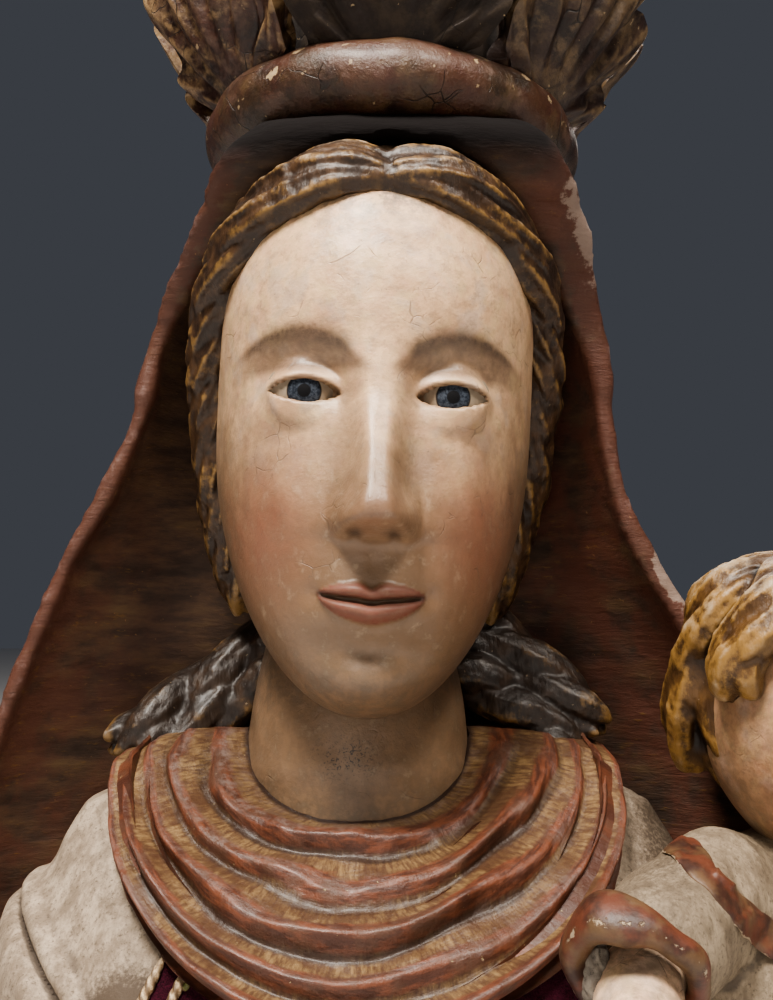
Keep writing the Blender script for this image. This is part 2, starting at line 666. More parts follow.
def trim_finish():
    """Red-brown trims, rubbed down to white ground along their edges."""
    paint = Finish("red_trim")
    relief = paint.mask("relief")
    mottle = paint.band(paint.cloud(6, 6), 0.38, 0.62)
    colour = paint.over(mottle, (0.042, 0.017, 0.011), (0.115, 0.036, 0.019))
    colour = paint.patched(colour, 9, 0.45, 0.62, 0.75, (0.125, 0.075, 0.036))
    edge = paint.sum(paint.mask("edge"), paint.level(paint.cloud(2.6, 6, 0.65), -0.5, 0.5))
    chips = paint.band(edge, 0.55, 0.62)
    colour = paint.over(chips, colour, (0.37, 0.28, 0.19))
    colour = paint.over(paint.band(relief, 0.40, 0.15), colour, (0.03, 0.018, 0.012))
    normal = paint.bump(paint.cloud(1.2, 5), 0.12)
    normal = paint.bump(chips, -0.15, normal)
    return paint.made(colour, paint.level(paint.cloud(4), 0.36, 0.62), normal)


def velvet_finish():
    """Deep purple velvet with a fine pile, rubbed along its folds."""
    paint = Finish("purple_velvet")
    pile = paint.cloud(0.35, 3, 0.7)
    colour = paint.over(paint.band(pile, 0.35, 0.65), (0.010, 0.0015, 0.004), (0.058, 0.008, 0.019))
    colour = paint.patched(colour, 8, 0.5, 0.7, 0.5, (0.085, 0.014, 0.030))
    sheen = {"Sheen_Weight": 0.7, "Sheen_Roughness": 0.35, "Sheen_Tint": (0.50, 0.16, 0.25)}
    return paint.made(colour, 0.95, paint.bump(pile, 0.25), Specular_IOR_Level=0.15, **sheen)


def thread_finish(name, light, dark):
    """Twisted metal thread, dull with age."""
    paint = Finish(name)
    colour = paint.over(paint.band(paint.cloud(0.8, 4), 0.36, 0.62), dark, light)
    colour = paint.over(paint.band(paint.mask("relief"), 0.38, 0.1), colour, (0.10, 0.06, 0.03))
    normal = paint.bump(paint.cloud(0.3, 3), 0.08)
    return paint.made(colour, paint.level(paint.cloud(1.5), 0.35, 0.65), normal, Metallic=0.1)


def plain_floor_finish():
    paint = Finish("pale_floor")
    colour = paint.over(paint.cloud(400), (0.62, 0.61, 0.60), (0.66, 0.65, 0.64))
    return paint.made(colour, 0.8, paint.bump(paint.cloud(60), 0.2))


SAINT_RED = (0.27, 0.088, 0.055)
CHILD_RED = (0.50, 0.13, 0.05)
FLESH = flesh_finish(
    "flesh_paint_saint", (0.66, 0.44, 0.265), (0.52, 0.325, 0.19),
    (0.190, 0.118, 0.069), SAINT_RED, 0.5,
)
CHILD_FLESH = flesh_finish(
    "flesh_paint_child", (0.47, 0.29, 0.17), (0.33, 0.185, 0.10),
    (0.24, 0.135, 0.075), CHILD_RED, 0.6,
)
ARM_FLESH = flesh_finish(
    "flesh_paint_arm", (0.82, 0.59, 0.41), (0.66, 0.46, 0.31),
    (0.46, 0.32, 0.21), SAINT_RED, 0.3,
)
EYES = eye_finish()
HAIR = hair_finish(
    "gilded_hair_saint", (0.026, 0.014, 0.008), (0.070, 0.037, 0.018), (0.20, 0.115, 0.040),
    (0.32, 0.25, 0.18), 0.63,
)
DARK_HAIR = hair_finish(
    "gilded_hair_under_veil", (0.016, 0.010, 0.007), (0.042, 0.024, 0.014), (0.15, 0.085, 0.030),
    (0.16, 0.125, 0.095), 0.70,
)
CHILD_HAIR = hair_finish(
    "gilded_hair_child", (0.050, 0.024, 0.009), (0.105, 0.053, 0.018), (0.25, 0.140, 0.042),
    (0.36, 0.28, 0.19), 0.56,
)
VEIL_PAINT = veil_finish()
COLLAR_PAINT = collar_finish()
CHALK = chalk_finish(
    "chalk_white_dress", (0.43, 0.345, 0.26), (0.225, 0.172, 0.124),
    (0.090, 0.065, 0.046), 0.75,
)
ROBE_CHALK = chalk_finish(
    "chalk_grey_robe", (0.29, 0.228, 0.158), (0.160, 0.121, 0.082),
    (0.068, 0.048, 0.033), 0.7,
)
FILLER = chalk_finish("grey_filler", (0.27, 0.235, 0.19), (0.17, 0.145, 0.12), (0.05, 0.042, 0.036), 0.7)
ROLL_PAINT = crown_finish("crown_roll_paint", 0.8, 0.7, (0.105, 0.066, 0.030), 0.10)
LEAF_PAINT = crown_finish("crown_leaf_paint", 0.4, 1.0, (0.29, 0.190, 0.100), 0.1)
TRIM_PAINT = trim_finish()
VELVET = velvet_finish()
CREAM_THREAD = thread_finish("cream_gold_thread", (0.62, 0.47, 0.30), (0.28, 0.18, 0.10))
OLIVE_THREAD = thread_finish("olive_thread", (0.16, 0.16, 0.05), (0.07, 0.07, 0.02))


# Head and face
egg_width = profile((-1, 0.9), (-0.8, 0.91), (-0.35, 0.94), (0.1, 0.95), (0.5, 1.05), (1, 1.02))
egg_front = profile((-1, 49), (-0.5, 53), (0.1, 57), (0.5, 61), (1, 67))
egg_back = profile((-1, 38), (-0.5, 44), (0.3, 60))
nose_rise = profile(
    (-5, 0), (-1.2, 1.6), (0.6, 8), (2.6, 13.6), (5.5, 15.2), (9, 14), (16, 10.3), (27, 5), (38.8, 1.5),
    (51, 0),
)
nose_half_width = profile((1, 6.4), (6, 5.7), (11, 4.9), (20, 4.6), (34, 6.0))


def face_forms(x, z, front, face):
    """The front of the skin with nose, lids, lips and chin on it, and where each colour goes."""
    size = face["size"]
    side = np.abs(x) / size
    above_nose = (z - face["nose"]) / size
    above_mouth = (z - face["mouth"]) / size
    above_chin = (z - face["chin"]) / size
    out = side - EYE_SPACING
    lift = (z - face["eye"]) / size

    nose = nose_rise(above_nose) / (1 + (side / nose_half_width(above_nose)) ** 4)
    wing = 3.2 * mound(side - 6.3, 2.5) * mound(above_nose - 3.4, 3.5)
    wing_groove = -0.7 * mound(side - 9.5, 1.3) * mound(above_nose - 4.5, 4.2)
    nostril = -2.4 * mound(side - 4.0, 1.7) * mound(above_nose - 0.2, 1.1)
    groove = -0.4 * mound(side, 1.9) * mound(above_mouth - 7.8, 3.0)
    socket = -5.0 * mound(out + 1, 10) * mound(lift - 1.5, 8.5) * (1 - 0.6 * ease(0, -7, lift))
    socket = socket + 2.2 * mound(out - 8, 5) * mound(lift + 3, 6)
    cheek = 1.8 * mound(side - 20, 10) * mound(above_nose - 8, 11)
    muzzle = 2.6 * mound(side, 15) * mound(above_mouth, 10)
    fold = -2.2 * mound(side, 11) * mound(above_chin - 15.2, 3.8)
    chin = 3.2 * mound(side, 10) * mound(above_chin - 7, 6.5)

    corner = np.clip(side / 11.2, 0, 1)
    arch = np.sqrt(np.maximum(0, 1 - corner**2))
    parting = -0.2 + 1.0 * corner**2 - 0.35 * mound(side, 2.2)
    upper = np.maximum(0.25, 4.0 * arch**1.35 * (1 - 0.26 * mound(side, 1.5)))
    lower = np.maximum(0.25, 4.8 * arch**1.2)
    up_share = np.clip((above_mouth - parting) / upper, 0, 1)
    down_share = np.clip((parting - above_mouth) / lower, 0, 1)
    within = ease(11.8, 10.6, side)
    lips = 1.9 * np.sin(np.pi * up_share) ** 0.8 + 2.3 * np.sin(np.pi * down_share) ** 0.8
    lip_line = mound(above_mouth - parting, 0.6) * within
    dimple = -0.9 * mound(side - 12.0, 2) * mound(above_mouth - 0.7, 2.2)

    forms = nose + wing + wing_groove + nostril + groove + socket + cheek + muzzle + fold + chin
    forms = forms + lips * within * (1 - 0.35 * corner) - 1.5 * lip_line + dimple
    skin = front + forms * size

    across = out / EYE_WIDTH
    opening = np.maximum(0, 1 - across**2)
    upper_lid = 2.9 * opening**0.72 * (1 - 0.1 * across) + 0.3 * across
    lower_lid = -2.2 * opening**0.8 + 0.3 * across
    lid_reach = EYEBALL + 1.15
    apart = np.hypot(out, lift)
    lid = np.sqrt(np.maximum(0, lid_reach**2 - apart**2)) - lid_reach - 30 * ease(6.5, 17, apart)
    lid = face["eyeball"] + (1.15 + lid) * size
    sharp = (1.6 + 0.9 * ease(1, -4, lift)) * size
    skin = sharp * np.logaddexp(skin / sharp, lid / sharp)
    edge = np.minimum(upper_lid - lift, lift - lower_lid)
    open_eye = ease(-0.1, 0.45, edge) * (np.abs(across) < 1)
    crease = 6.4 * np.maximum(0, 1 - (across / 1.25) ** 2) ** 0.6
    skin = skin - 0.7 * size * mound(lift - crease, 0.9) * ease(1.25, 0.9, np.abs(across))
    skin = skin + 0.35 * size * mound(lift - upper_lid - 0.8, 0.7) * ease(1.1, 0.8, np.abs(across))
    skin = skin - 2.9 * size * open_eye

    brow_height = (z - face["brow"]) / size - 4.6 + 5.2 * ((side - 18.5) / 13.5) ** 2
    brow_end = ease(4.6, 8, side) * ease(34, 27, side)
    upper_border = ease(0.0, 0.12, up_share) * ease(1, 0.9, up_share)
    lower_border = ease(0, 0.1, down_share) * ease(1, 0.9, down_share)
    masks = {
        "blush": 0.62 * mound(side - 23, 10) * mound(above_nose - 1, 15)
        + 0.25 * mound(side, 6) * mound(above_nose - 4, 6),
        "shade": 0.95 * ease(18, 10, np.abs(out)) * ease(2.9, 6.0, lift) * ease(1.5, -1.5, brow_height)
        + 0.45 * mound(side - 7.0, 3) * ease(2, 12, above_nose) * ease(38, 28, above_nose),
        "brow": mound(brow_height, 2.1 - 0.8 * ease(18, 32, side)) * brow_end,
        "lip": np.clip(upper_border + lower_border, 0, 1) * within,
        "line": np.clip(
            0.85 * lip_line
            + 0.8 * mound(lift - upper_lid + 0.15, 0.55) * ease(1.05, 0.9, np.abs(across))
            + 0.35 * mound(lift - lower_lid, 0.5) * ease(1.0, 0.85, np.abs(across))
            + 0.9 * mound(side - 4.0, 1.5) * mound(above_nose - 0.2, 0.9), 0, 1),
    }
    return skin, masks


def saint_head():
    piece, around, up = ball("saint_face", 300, 290)
    closer = around + 0.6 * np.sin(around)
    even = 2 * up - 1
    height = np.where((up > 0) & (up < 1), 0.65 * even - 0.35 * np.cos(np.pi * up), even)
    ring_size = np.sqrt(np.maximum(0, 1 - height**2))
    ahead = -np.cos(closer)
    middle = -38 * np.maximum(0, -height) ** 1.6
    x = FACE_HALF_WIDTH * egg_width(height) * ring_size * power(np.sin(closer), 0.92)
    z = HEAD_MIDDLE + (HEAD_HEIGHT / 2) * height
    reach = np.where(ahead > 0, egg_front(height), egg_back(height))
    front = reach * ring_size * power(ahead, 0.92) - middle
    formed, masks = face_forms(x, z, front, SAINT_FACE)
    share = ease(0.1, 0.45, ahead) * ease(0, 0.35, ring_size)
    y = -(front + (formed - front) * share) + 0.22 * unevenness(x, front, z, 16)
    masks = {name: values * share for name, values in masks.items()}
    jaw = ease(118, 100, z) + 0.7 * ease(24, 36, np.abs(x)) * ease(185, 130, z)
    grime = 0.15 + 0.6 * jaw + 0.5 * ease(200, 214, z) + 0.35 * mound(x, 15) * ease(203, 213, z)
    aged = 1.05 * ease(184, 120, z) + 0.25 * ease(24, 38, np.abs(x))
    carve(piece, x, y, z, HEAD_PLACE, grime=np.clip(grime, 0, 1), aged=aged, patch=0.0, **masks)
    mark_relief(piece, 24, 0.35)
    return finished(piece, "saint_figure", FLESH)


def eyes(prefix, face, place):
    """A pair of painted eyeballs, each turned to look ahead."""
    size = face["size"]
    for name, hand in (("right", -1), ("left", 1)):
        piece, around, up = ball(f"{prefix}_{name}_eye", 48, 36)
        polar = np.pi * (1 - up)
        x, y, z = np.sin(polar) * np.sin(around), -np.cos(polar), np.sin(polar) * np.cos(around)
        y = np.where((up == 0) | (up == 1), 2 * (up < 0.5) - 1.0, y)
        radius = EYEBALL * size
        bulge = 1 + 0.03 * mound(polar, 0.42)
        carve(
            piece, hand * EYE_SPACING * size + radius * x * bulge,
            radius - face["eyeball"] + radius * y * bulge,
            face["eye"] + 0.2 * size + radius * z * bulge, place, iris=polar,
        )
        edited(piece, bpy.ops.mesh.normals_make_consistent, inside=False)
        if prefix == "saint":
            finished(piece, "saint_figure", EYES)
        else:
            finished(piece, "child_figure", EYES)


neck_radius = profile((48, 36), (64, 30), (78, 27.5), (95, 26), (110, 23), (128, 18))


def saint_neck():
    piece, around, up = ball("saint_neck", 160, 110)
    height = 46 + 82 * up
    reach = np.where((up > 0) & (up < 1), neck_radius(height), 0)
    reach = reach * (1 + 0.008 * unevenness(np.sin(around) * 30, np.cos(around) * 30, height, 22))
    reach = reach + 0.6 * mound(height - 84 - 2 * np.cos(around * 2), 3.5) * (reach > 0)
    x = NECK_X + reach * np.sin(around)
    y = NECK_Y + 1.1 * reach * np.cos(around)
    patch = mound(x + 9, 7) * mound(height - 88, 5.5) * (y < 0)
    grime = 0.35 + 0.45 * ease(84, 72, height) + 0.3 * ease(94, 104, height)
    carve(
        piece, x, y, height, patch=patch, grime=grime, aged=0.9,
        blush=0.0, shade=0.35 * ease(96, 106, height), brow=0.0, lip=0.0, line=0.0,
    )
    mark_relief(piece)
    return finished(piece, "saint_figure", FLESH)


# Hair
BAND_POINTS = [
    (-5, -45, 216), (10, -44.5, 216.5), (22.5, -38, 212), (32.5, -29, 203.5), (38, -19, 192.5),
    (39.8, -13, 179), (39.4, -9, 165), (38, -6, 150.5), (35, -2, 134), (30, 2, 118),
]
SHOULDER_LOCKS = [
    ([(-24, 8, 116), (-40, 6, 104), (-54, 0, 95), (-67, -8, 87)], 8.5),
    ([(-22, 2, 105), (-36, 2, 98), (-48, -2, 91), (-60, -9, 85)], 8.0),
    ([(14, 8, 121), (27, 6, 112), (40, 0, 102), (53, -7, 91)], 8.5),
    ([(12, 2, 109), (24, 1, 102), (35, -3, 94), (46, -10, 86)], 8.0),
]


def away_from_head(places):
    return places - np.array([0, 20, 165])


def combed(around, along, start=0.0):
    """Fine grooves that waver along a lock."""
    waver = 1.5 * np.sin(9 * along + start)
    return 0.09 * np.cos(7 * around + waver) + 0.05 * np.cos(13 * around - 2 * waver + 1 + start)


def twisted(points, outward, count, winding, wide, deep, size, comb=1.0, place=None):
    """Locks that wind about one course, as in a loose rope, so that each shows and dives in turn."""
    locks = []
    shares = np.linspace(0, 1, 36)
    places, heading = course(points, shares)
    out, beside = squared(places, heading, outward)
    for number in range(count):
        angle = winding(shares) + 2 * np.pi * number / count
        aside = (wide(shares) * np.sin(angle))[:, None] * beside
        above = (deep(shares) * np.cos(angle))[:, None] * out

        def radius(around, along, number=number):
            swell = 1 + 0.10 * np.sin(13 * along + 2.1 * number)
            return size(along) * (swell + comb * combed(around, along, 2.4 * number))

        locks.append(drawn_out("lock", places + aside + above, radius, 44, 220, outward, 1.15, place)[0])
    return locks


def carved_locks(name, locks, voxel, node, finish, face_x, face_z):
    """The locks made one carved mass, which lies in its own shadow on the side next to the face."""
    piece = joined(name, *locks)
    run_together(piece, voxel, 2)
    x, y, z = places_of(piece)
    push_out(piece, 0.25 * unevenness(x, y, z, 9) + 0.12 * unevenness(x, y, z, 3.5, 2))
    normals = normals_of(piece)
    apart = np.maximum(1, np.hypot(x - face_x, z - face_z))
    outward = (normals[:, 0] * (x - face_x) + normals[:, 2] * (z - face_z)) / apart
    mark(piece, upward=np.clip(normals[:, 2], 0, 1), inner=ease(0.05, -0.6, outward))
    mark_relief(piece, 80, 0.36)
    return finished(piece, node, finish)


band_wide = profile((0, 3.0), (0.2, 4.4), (0.42, 3.6), (0.6, 2.6), (1, 2.4))
band_deep = profile((0, 0.8), (0.2, 1.6), (0.42, 2.2), (1, 2.0))
band_size = profile((0, 3.9), (0.2, 4.2), (0.42, 3.9), (0.6, 3.4), (1, 3.2))
band_winding = profile((0, 0), (0.25, 1.5), (0.45, 4.2), (0.7, 10.0), (1, 16.5))


def saint_hair():
    """Two wavy bands from the parting down beside the face, twisted from long locks."""
    locks = []
    for hand in (-1, 1):
        points = [(hand * x, y, z) for x, y, z in BAND_POINTS]

        def winding(share, hand=hand):
            return 0.9 - hand * band_winding(share)

        locks += twisted(
            points, away_from_head, 4, winding, band_wide, band_deep, band_size, 1.0, HEAD_PLACE
        )
    return carved_locks("saint_hair", locks, 0.6, "saint_figure", HAIR, -4, 160)


def shoulder_hair():
    """Wavy locks that lie from the neck out over each shoulder under the veil."""
    locks = []
    for number, (points, size) in enumerate(SHOULDER_LOCKS):
        thin = profile((0, 0.5 * size), (0.5, 0.52 * size), (0.85, 0.40 * size), (1, 0.24 * size))
        spread = profile((0, 0.42 * size), (1, 0.30 * size))
        locks += twisted(
            points, (0, -1, 0.6), 3,
            lambda share, number=number: 1.2 * number - 5.5 * share, spread, spread, thin, 0.45,
        )
    return carved_locks("shoulder_locks", locks, 0.6, "saint_figure", DARK_HAIR, -6, 150)


# Veil
rim_left = profile(
    (0, -112), (38, -109), (63, -104.3), (84, -97.8), (101, -91.6), (118, -84.8), (132, -79), (147, -70.8),
    (166, -62.6), (186, -58), (198, -53), (211, -46), (222, -39), (232, -31), (241, -21), (246, -11),
    (VEIL_TOP, 2),
)
rim_right = profile(
    (0, 104), (38, 100), (62, 95), (84, 89), (101, 82), (121, 72.8), (135, 64.6), (147, 59.2), (164, 55.8),
    (183, 54.5), (205, 49.6), (219, 43.6), (232, 34.5), (241, 25), (246, 15), (VEIL_TOP, 2),
)
rim_depth = profile(
    (0, -14), (185, -13), (196, -16), (211, -25), (222, -34), (231, -32), (237, -23), (VEIL_TOP, 0)
)
rim_bulge = profile((214, 1), (226, 8), (232, 7), (238, 2), (VEIL_TOP, 0))
veil_back = profile(
    (0, 62), (90, 60), (125, 58), (170, 67), (200, 68), (222, 60), (236, 44), (244, 26), (VEIL_TOP, 0)
)
hollow_depth = profile((60, 36), (160, 34), (190, 28), (212, 15), (228, 4))


def veil_outside():
    piece, around, up = ball("veil", 260, 240)
    angle = ease(0.68, 1.32, up) * np.pi
    side = UNDER_CUT + (VEIL_SHOULDER - UNDER_CUT) * (up - 0.05) / 0.63
    top = VEIL_SHOULDER + (VEIL_TOP - VEIL_SHOULDER) * np.sin(np.minimum(angle, np.pi / 2))
    height = np.where(up < 0.68, np.maximum(side, UNDER_CUT), top)
    size = np.minimum(up / 0.05, 1)
    behind = np.cos(around)
    left, right = rim_left(height), rim_right(height)
    fold = 3.0 * (np.cos(around * 8 + 0.9 * np.sin(height / 45)) - 0.7) * ease(0.1, 0.5, behind)
    fold = fold * (1 - ease(120, 200, height))
    depth = np.where(behind > 0, veil_back(height) + fold - rim_depth(height), rim_bulge(height))
    x = (left + right) / 2 + ((right - left) / 2) * power(np.sin(around), 0.92) * size
    y = rim_depth(height) + depth * behind * size + 18 * (1 - size)
    carve(piece, x, y, height)
    return piece


def veil_hollow():
    piece, around, up = ball("veil_hollow", 140, 120)
    height = blend(-26, 227, up)
    size = np.where((up > 0) & (up < 1), np.sqrt(np.maximum(0, 1 - (2 * up - 1) ** 10)), 0)
    left = rim_left(height) + VEIL_RIM + 2.5 * mound(height - 212, 16)
    right = rim_right(height) - VEIL_RIM - 6.0 * mound(height - 206, 24) - 2.0 * mound(height - 127, 15)
    behind = np.cos(around)
    depth = np.where(behind > 0, hollow_depth(height), 90)
    x = (left + right) / 2 + ((right - left) / 2) * np.sin(around) * size
    carve(piece, x, rim_depth(height) + depth * behind * size, height)
    return piece


def from_rim(x, y, z):
    """How far in from the veil's rim a spot lies, and how far behind it."""
    return np.minimum(x - rim_left(z), rim_right(z) - x), np.maximum(0, y - rim_depth(z))


def saint_veil():
    piece = veil_outside()
    hollow = veil_hollow()
    cut_away(piece, hollow)
    run_together(piece, 1.55, 5)
    x, y, z = places_of(piece)
    edge, behind = from_rim(x, y, z)
    near_rim = mound(behind, 5) * mound(np.maximum(0, edge), 5.5) * ease(0, 20, z)
    uneven = 0.8 * unevenness(x, y, z, 23) + 0.3 * unevenness(x, y, z, 7, 1.0)
    push_out(piece, uneven * (0.35 + 0.5 * near_rim) * ease(1, 8, z))
    cut_flat(piece)
    x, y, z = places_of(piece)
    edge, behind = from_rim(x, y, z)
    near_rim = mound(behind, 8) * mound(np.maximum(0, edge), 8.5)
    hood_side = ease(20, 32, x) * mound(z - 200, 24) * ease(13, 5, edge)
    near_rim = np.maximum(near_rim, 0.9 * hood_side)
    red = ease(10, 45, x) + 0.8 * ease(-45, -90, x) + 0.5 * ease(20, 40, y)
    very_edge = mound(behind, 3) * mound(np.maximum(0, edge - 0.4), 1.1)
    upper_right = 0.74 * ease(20, 32, x) * mound(np.maximum(0, edge - 0.5), 7) * mound(z - 210, 19)
    lower_right = 0.85 * ease(40, 50, x) * mound(np.maximum(0, edge), 6) * mound(z - 127, 12)
    pale = np.maximum(0.42 * very_edge, np.maximum(upper_right, lower_right) * near_rim ** 0.3)
    mark(
        piece, rim=near_rim, red=np.clip(red, 0, 1), pale_rim=pale * ease(228, 218, z),
        shade=ease(216, 226, z) * ease(6, -6, y) * ease(46, 36, np.abs(x)),
    )
    mark_relief(piece, 10, 0.8)
    return finished(piece, "saint_figure", VEIL_PAINT, 50)


# Dress and collar
dress_half = profile((0, 104), (20, 96), (42, 87), (48, 83), (63, 74), (75, 66.5), (84, 61))
dress_front = profile((0, 58), (30, 54), (48, 45), (62, 33), (76, 18), (92, 10))


def dress_spot(around, height):
    ahead = -np.cos(around)
    down = ease(0.4, 1, -np.sin(around))
    crease = 2.4 * mound(height - 52 + 22 * np.maximum(0, ahead), 5) * down
    size = np.where(height > 75, np.sqrt(np.maximum(0, 1 - ((height - 75) / 9) ** 2)), 1)
    reach = (dress_half(height) + crease) * size
    depth = np.where(ahead > 0, dress_front(height), 40) * size
    return BODY_X + reach * power(np.sin(around), 0.9), BODY_Y - depth * power(ahead, 0.9)


def above_crease(x, z):
    """The height above the slanting crease on the sleeve."""
    return z - 39.3 + 0.9 * (x + 67.2)


def saint_dress():
    piece, around, up = ball("dress", 320, 220)
    height = np.maximum(UNDER_CUT, -28 + 112 * up)
    x, y = dress_spot(around, height)
    x, y = np.where(up > 0, x, BODY_X), np.where(up > 0, y, BODY_Y)
    sunk = 4.5 * mound(np.hypot(x - NECK_X, y - NECK_Y) - 27, 13) * ease(68, 78, height)
    carve(piece, x, y, height - sunk)
    x, y, z = places_of(piece)
    sleeve = ease(-54, -64, x)
    line = above_crease(x, z)
    fold = 1.5 * mound(line - 4, 3.2) - 1.6 * mound(line, 1.3) + 1.1 * mound(line + 6, 4)
    soft = 0.7 * np.sin((x + 0.7 * z) / 4.2) * ease(-50, -62, x) * ease(80, 60, z)
    push_out(piece, fold * sleeve * ease(2, 10, z) + soft * ease(1, 6, z) + 0.25 * unevenness(x, y, z, 12))
    cut_flat(piece)
    x, y, z = places_of(piece)
    line = above_crease(x, z)
    crease = 0.6 * mound(line, 0.9) * ease(-54, -64, x)
    grime = 0.24 + 0.75 * mound(x + 52, 13) * ease(58, 36, z) + 0.45 * ease(45, 62, x) + crease
    mark(piece, grime=np.clip(grime + 0.4 * ease(8, 0, z), 0, 1))
    mark_relief(piece, 20, 1.0)
    return finished(piece, "saint_figure", CHALK, 50)


ridge_at = profile((0, 0.42), (0.15, 1), (0.39, 2), (0.61, 3), (0.81, 4), (0.97, 5), (1, 5.1))


def saint_collar():
    """A collar of cloth laid in five soft ridges, steep on their lower sides, carved thick."""
    piece, across, up = sheet("collar", 300, 158)
    down = 1 - up
    angle = np.radians(blend(-112, 112, across))
    lift = 1 - np.cos(angle)
    climb = np.where(lift < 1, lift, 1 + 0.3 * (lift - 1))
    neckline = COLLAR_TOP + 12 * climb + 5 * mound(np.abs(angle) - 1.55, 0.5)
    top = np.column_stack([NECK_X + 27.6 * np.sin(angle), NECK_Y - 33 * np.cos(angle), neckline])
    hem = np.column_stack([
        BODY_X + 59.5 * np.sin(angle), -20 - 54 * np.cos(angle),
        COLLAR_HEM + 45 * np.maximum(0, climb) ** 0.88,
    ])
    out = np.column_stack([np.sin(angle), -np.cos(angle), np.full_like(angle, 0.9)])
    out = out / np.linalg.norm(out, axis=1)[:, None]
    drift = 0.17 * np.sin(2.3 * angle + 0.8) + 0.13 * np.sin(4.7 * angle + 7 * down + 1)
    drift = drift + 0.05 * np.sin(11 * angle + 15 * down)
    ridge = ridge_at(down) + drift * np.sin(np.pi * down)
    turn = 2 * np.pi * ridge
    wave = 0.5 + 0.5 * np.cos(turn + 0.26 * (1 - np.cos(turn)))
    number = np.round(ridge)
    size = 0.82 + 0.30 * np.sin(2.2 * angle + 2.6 * number) + 0.14 * np.sin(5.1 * angle + 1.9 * number)
    size = size * (0.12 + 0.88 * ease(1.8, 0.8, np.abs(angle)))
    rise = 3.4 * np.sin(np.pi * down) + 3.5 * (wave * size - 0.4)
    rise = rise + 0.5 * unevenness(40 * angle, 45 * down, 12 * down, 15)
    rise = rise + 0.15 * unevenness(40 * angle, 45 * down, 12 * down, 5.5, 2)
    rounding = ease(0, 0.012, across) * ease(1, 0.988, across) * ease(1, 0.985, down)
    rise = rise - 1.6 * (1 - rounding)
    spots = top + (hem - top) * down[:, None] + rise[:, None] * out
    below_crest = np.mod(turn + np.pi, 2 * np.pi) - np.pi
    red = mound(below_crest - 0.35, 1.75) * (0.75 + 0.3 * size)
    deep = mound(1 - np.cos(turn - 2.5), 0.26) * np.clip(1.1 * size, 0, 1)
    sheen = mound(below_crest + 0.6, 0.8) * ease(0.95, 0.2, down) * ease(0.3, -0.7, angle)
    sheen = sheen + 0.5 * ease(0.14, 0.03, down)
    carve(
        piece, *spots.T, ridge=red, sheen=sheen, way=45 * MM * angle, fall=46 * MM * down,
        deep=np.clip(0.85 * deep + 0.7 * ease(0.05, 0.0, down), 0, 1),
    )
    mark_relief(piece, 30, 0.6)
    work(piece, "SOLIDIFY", thickness=6 * MM, offset=-1)
    return finished(piece, "saint_figure", COLLAR_PAINT, 60)


# Crown
# The chips on the roll: degrees round it, degrees round its section, and width
ROLL_CHIPS = [
    (-63, 42, 3.2), (-66, 20, 2.2), (-48, 30, 2.0), (-38, 10, 2.2), (-118, 35, 2.6), (-126, 5, 3.0),
]


def crown_roll():
    piece, around, section = ring("crown_roll", 300, 90)
    x, y = np.cos(around), np.sin(around)
    swell = 1 + 0.035 * np.sin(3 * around + 0.6) + 0.02 * np.sin(7 * around)
    dent = 0.55 * unevenness(40 * x, 40 * y, 9 * np.sin(section), 19)
    thickness = ROLL_THICKNESS / 2 * swell + dent
    reach = ROLL_RADIUS + thickness * np.cos(section)
    spots = (reach * x, reach * y, thickness * np.sin(section))
    chips = 0.0
    for azimuth, tilt, wide in ROLL_CHIPS:
        apart = np.hypot(
            (np.mod(np.degrees(around) - azimuth + 180, 360) - 180) * 0.7,
            (np.degrees(section) - tilt) * 0.15,
        )
        chips = np.maximum(chips, 0.62 * mound(apart, wide))
    carve(piece, *spots, CROWN_PLACE, chips=chips, along=0.35, dull=0.0)
    mark_relief(piece, 30, 0.6)
    return finished(piece, "crown", ROLL_PAINT)


def crown_drum():
    """The low wall that the leaves spring from, hollow like a cup."""
    piece, around, section = ring("crown_drum", 260, 60)
    wide, tall = power(np.cos(section), 0.35), power(np.sin(section), 0.35)
    flutes = 0.9 * np.cos(around * 30) * (wide > 0.5)
    reach = 36.3 + 3.5 * wide + flutes * ease(0.9, 0.3, np.abs(tall))
    z = 10.5 + 14.5 * tall
    x, y = reach * np.cos(around), reach * np.sin(around)
    carve(piece, x, y, z, CROWN_PLACE, chips=0.0, along=0.5, dull=0.9)
    mark_relief(piece, 14, 1.0)
    return finished(piece, "crown", LEAF_PAINT, 60)


LEAF_DULLNESS = [0.9, 0.5, 0.3, 0.2, 0.1, 0.0]
leaf_fan = profile((0, 26), (0.2, 32), (0.45, 45), (0.75, 48), (1, LEAF_HEIGHT))


